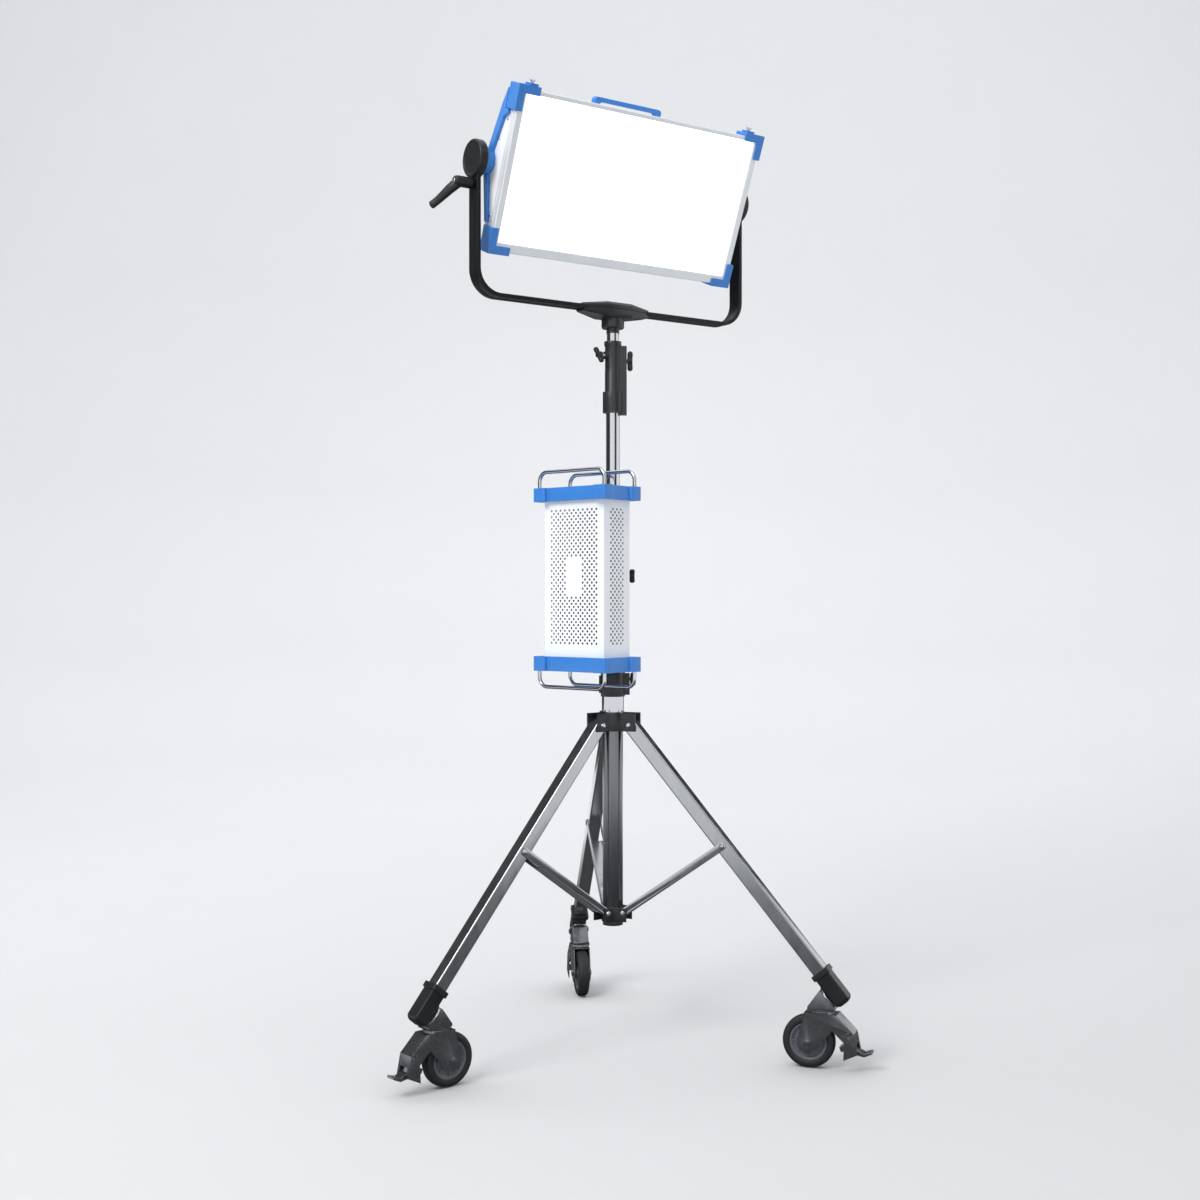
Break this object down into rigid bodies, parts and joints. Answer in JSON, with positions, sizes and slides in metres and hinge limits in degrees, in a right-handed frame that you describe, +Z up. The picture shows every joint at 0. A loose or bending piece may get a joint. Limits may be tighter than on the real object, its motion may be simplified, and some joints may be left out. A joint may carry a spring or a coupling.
{
  "type": "led soft light panel on a roller stand",
  "caption": "Flat studio soft light in a yoke, on a three-legged roller stand with a power supply clamped to the column.",
  "frame": {"origin": "on the floor, on the axis of the stand's column", "axes": "+Z up along the column; X is the head's tilt axis; the head faces -Y, tipped down"},
  "size_m": [1.0016, 1.0796, 2.2287],
  "materials": {
    "black_steel": "satin",
    "chrome_tube": "polished",
    "bright_pin": "satin",
    "black_cast": "satin",
    "black_plastic": "matte",
    "black_aluminium": "satin",
    "diffuser": "satin",
    "bezel_aluminium": "satin",
    "board": "matte",
    "white_housing": "satin",
    "blue_plastic": "satin",
    "fin_aluminium": "satin",
    "potted_module": "matte",
    "leg_steel": "satin",
    "caster_steel": "satin",
    "tyre": "matte"
  },
  "bodies": {
    "column": {"column_tube": "black_steel", "lower_hub": "black_steel", "hub_pins": "bright_pin"},
    "base": {"base_sleeve": "chrome_tube", "leg_spider": "black_steel", "spider_pins": "bright_pin", "collar_lower": "black_cast", "collar_upper": "black_cast", "supply_case": "white_housing", "supply_module": "potted_module", "supply_frames": "blue_plastic", "supply_handles": "chrome_tube", "supply_clamp": "black_cast"},
    "riser": {"riser_tube": "chrome_tube", "receiver": "black_cast"},
    "yoke": {"yoke_strap": "black_aluminium", "yoke_hubs": "black_plastic", "yoke_boss": "black_plastic", "yoke_spigot": "bright_pin"},
    "head": {"diffuser_panel": "diffuser", "front_bezel": "bezel_aluminium", "led_board": "board", "head_housing": "white_housing", "guards": "blue_plastic", "tilt_trunnions": "bright_pin", "top_handle": "blue_plastic", "heat_sink": "fin_aluminium", "control_panel": "black_plastic", "rear_sockets": "black_plastic"},
    "tilt_lever": {"tilt_lever": "black_plastic"},
    "knob_lower": {"knob_lower": "black_plastic"},
    "knob_upper": {"knob_upper": "black_plastic"},
    "supply_knob": {"supply_knob": "black_plastic"},
    "receiver_knob": {"receiver_knob": "black_plastic"},
    "side_knob": {"side_knob": "black_plastic"},
    "latch_left": {"latch_left": "bright_pin"},
    "latch_right": {"latch_right": "bright_pin"},
    "dimmer_knob": {"dimmer_knob": "black_plastic"},
    "menu_knob": {"menu_knob": "black_plastic"},
    "leg_1": {"leg_1": "leg_steel", "end_cap_1": "black_plastic", "caster_seat_1": "caster_steel"},
    "brace_1": {"brace_1": "leg_steel"},
    "fork_1": {"fork_1": "caster_steel"},
    "wheel_1": {"wheel_1": "tyre"},
    "brake_1": {"brake_1": "caster_steel"},
    "leg_2": {"leg_2": "leg_steel", "end_cap_2": "black_plastic", "caster_seat_2": "caster_steel"},
    "brace_2": {"brace_2": "leg_steel"},
    "fork_2": {"fork_2": "caster_steel"},
    "wheel_2": {"wheel_2": "tyre"},
    "brake_2": {"brake_2": "caster_steel"},
    "leg_3": {"leg_3": "leg_steel", "end_cap_3": "black_plastic", "caster_seat_3": "caster_steel"},
    "brace_3": {"brace_3": "leg_steel"},
    "fork_3": {"fork_3": "caster_steel"},
    "wheel_3": {"wheel_3": "tyre"},
    "brake_3": {"brake_3": "caster_steel"}
  },
  "joints": [
    {"name": "base_slide", "type": "slide", "parent": "column", "child": "base", "axis": [0, 0, 1], "range_m": [0, 0.17995]},
    {"name": "riser_slide", "type": "slide", "parent": "base", "child": "riser", "axis": [0, 0, 1], "range_m": [-0.23, 0.45]},
    {"name": "yoke_pan", "type": "hinge", "parent": "riser", "child": "yoke", "pos_m": [0, 0, 1.65], "axis": [0, 0, 1], "continuous": true},
    {"name": "head_tilt", "type": "hinge", "parent": "yoke", "child": "head", "pos_m": [0, 0, 2.05], "axis": [1, 0, 0], "range_deg": [-112.5, 67.5]},
    {"name": "tilt_lever", "type": "hinge", "parent": "yoke", "child": "tilt_lever", "pos_m": [-0.38, 0, 1.993], "axis": [1, 0, 0], "range_deg": [-60, 60]},
    {"name": "knob_lower_turn", "type": "hinge", "parent": "base", "child": "knob_lower", "pos_m": [0.02487, -0.01678, 0.872], "axis": [0.829, -0.5592, 0], "continuous": true},
    {"name": "knob_upper_turn", "type": "hinge", "parent": "base", "child": "knob_upper", "pos_m": [0.01678, 0.02487, 1.188], "axis": [0.5592, 0.829, 0], "continuous": true},
    {"name": "supply_knob_turn", "type": "hinge", "parent": "base", "child": "supply_knob", "pos_m": [0.02487, -0.01678, 1.117], "axis": [0.829, -0.5592, 0], "continuous": true},
    {"name": "receiver_knob_turn", "type": "hinge", "parent": "riser", "child": "receiver_knob", "pos_m": [-0.03, -0.00052, 1.64], "axis": [-0.9998, -0.0175, 0], "continuous": true},
    {"name": "side_knob_turn", "type": "hinge", "parent": "riser", "child": "side_knob", "pos_m": [0.02487, -0.01678, 1.628], "axis": [0.829, -0.5592, 0], "continuous": true},
    {"name": "latch_left_press", "type": "slide", "parent": "head", "child": "latch_left", "axis": [0, -0.3827, 0.9239], "range_m": [-0.003, 0], "stiffness_N_per_m": 600, "springref_m": 0.001},
    {"name": "latch_right_press", "type": "slide", "parent": "head", "child": "latch_right", "axis": [0, -0.3827, 0.9239], "range_m": [-0.003, 0], "stiffness_N_per_m": 600, "springref_m": 0.001},
    {"name": "dimmer_turn", "type": "hinge", "parent": "head", "child": "dimmer_knob", "pos_m": [0.226, 0.02006, 2.07996], "axis": [0, 0.9239, 0.3827], "continuous": true},
    {"name": "menu_turn", "type": "hinge", "parent": "head", "child": "menu_knob", "pos_m": [0.226, 0.03231, 2.05039], "axis": [0, 0.9239, 0.3827], "continuous": true},
    {"name": "leg_fold_1", "type": "hinge", "parent": "base", "child": "leg_1", "pos_m": [0.01865, 0.0415, 0.765], "axis": [-0.9121, 0.4099, 0], "range_deg": [0, 25.81]},
    {"name": "brace_fold_1", "type": "hinge", "parent": "column", "child": "brace_1", "pos_m": [0.01287, 0.02864, 0.321], "axis": [-0.9121, 0.4099, 0], "range_deg": [-35.05, 0]},
    {"name": "caster_swivel_1", "type": "hinge", "parent": "leg_1", "child": "fork_1", "pos_m": [0.20701, 0.46062, 0.13], "axis": [0, 0, 1], "continuous": true},
    {"name": "wheel_spin_1", "type": "hinge", "parent": "fork_1", "child": "wheel_1", "pos_m": [0.1943, 0.43234, 0.06], "axis": [-0.9121, 0.4099, 0], "continuous": true},
    {"name": "brake_press_1", "type": "hinge", "parent": "fork_1", "child": "brake_1", "pos_m": [0.23202, 0.51626, 0.086], "axis": [-0.9121, 0.4099, 0], "range_deg": [0, 20]},
    {"name": "leg_fold_2", "type": "hinge", "parent": "base", "child": "leg_2", "pos_m": [-0.04527, -0.0046, 0.765], "axis": [0.1011, -0.9949, 0], "range_deg": [0, 25.81]},
    {"name": "brace_fold_2", "type": "hinge", "parent": "column", "child": "brace_2", "pos_m": [-0.03124, -0.00317, 0.321], "axis": [0.1011, -0.9949, 0], "range_deg": [-35.05, 0]},
    {"name": "caster_swivel_2", "type": "hinge", "parent": "leg_2", "child": "fork_2", "pos_m": [-0.50241, -0.05103, 0.13], "axis": [0, 0, 1], "continuous": true},
    {"name": "wheel_spin_2", "type": "hinge", "parent": "fork_2", "child": "wheel_2", "pos_m": [-0.47157, -0.0479, 0.06], "axis": [0.1011, -0.9949, 0], "continuous": true},
    {"name": "brake_press_2", "type": "hinge", "parent": "fork_2", "child": "brake_2", "pos_m": [-0.5631, -0.0572, 0.086], "axis": [0.1011, -0.9949, 0], "range_deg": [0, 20]},
    {"name": "leg_fold_3", "type": "hinge", "parent": "base", "child": "leg_3", "pos_m": [0.02662, -0.0369, 0.765], "axis": [0.8111, 0.585, 0], "range_deg": [0, 25.81]},
    {"name": "brace_fold_3", "type": "hinge", "parent": "column", "child": "brace_3", "pos_m": [0.01837, -0.02547, 0.321], "axis": [0.8111, 0.585, 0], "range_deg": [-35.05, 0]},
    {"name": "caster_swivel_3", "type": "hinge", "parent": "leg_3", "child": "fork_3", "pos_m": [0.2954, -0.40959, 0.13], "axis": [0, 0, 1], "continuous": true},
    {"name": "wheel_spin_3", "type": "hinge", "parent": "fork_3", "child": "wheel_3", "pos_m": [0.27727, -0.38444, 0.06], "axis": [0.8111, 0.585, 0], "continuous": true},
    {"name": "brake_press_3", "type": "hinge", "parent": "fork_3", "child": "brake_3", "pos_m": [0.33109, -0.45906, 0.086], "axis": [0.8111, 0.585, 0], "range_deg": [0, 20]}
  ],
  "couplings": [
    {"joint": "leg_fold_1", "follows": "base_slide", "rad_per_m": 2.5023},
    {"joint": "brace_fold_1", "follows": "base_slide", "rad_per_m": -3.3987},
    {"joint": "leg_fold_2", "follows": "base_slide", "rad_per_m": 2.5023},
    {"joint": "brace_fold_2", "follows": "base_slide", "rad_per_m": -3.3987},
    {"joint": "leg_fold_3", "follows": "base_slide", "rad_per_m": 2.5023},
    {"joint": "brace_fold_3", "follows": "base_slide", "rad_per_m": -3.3987}
  ]
}
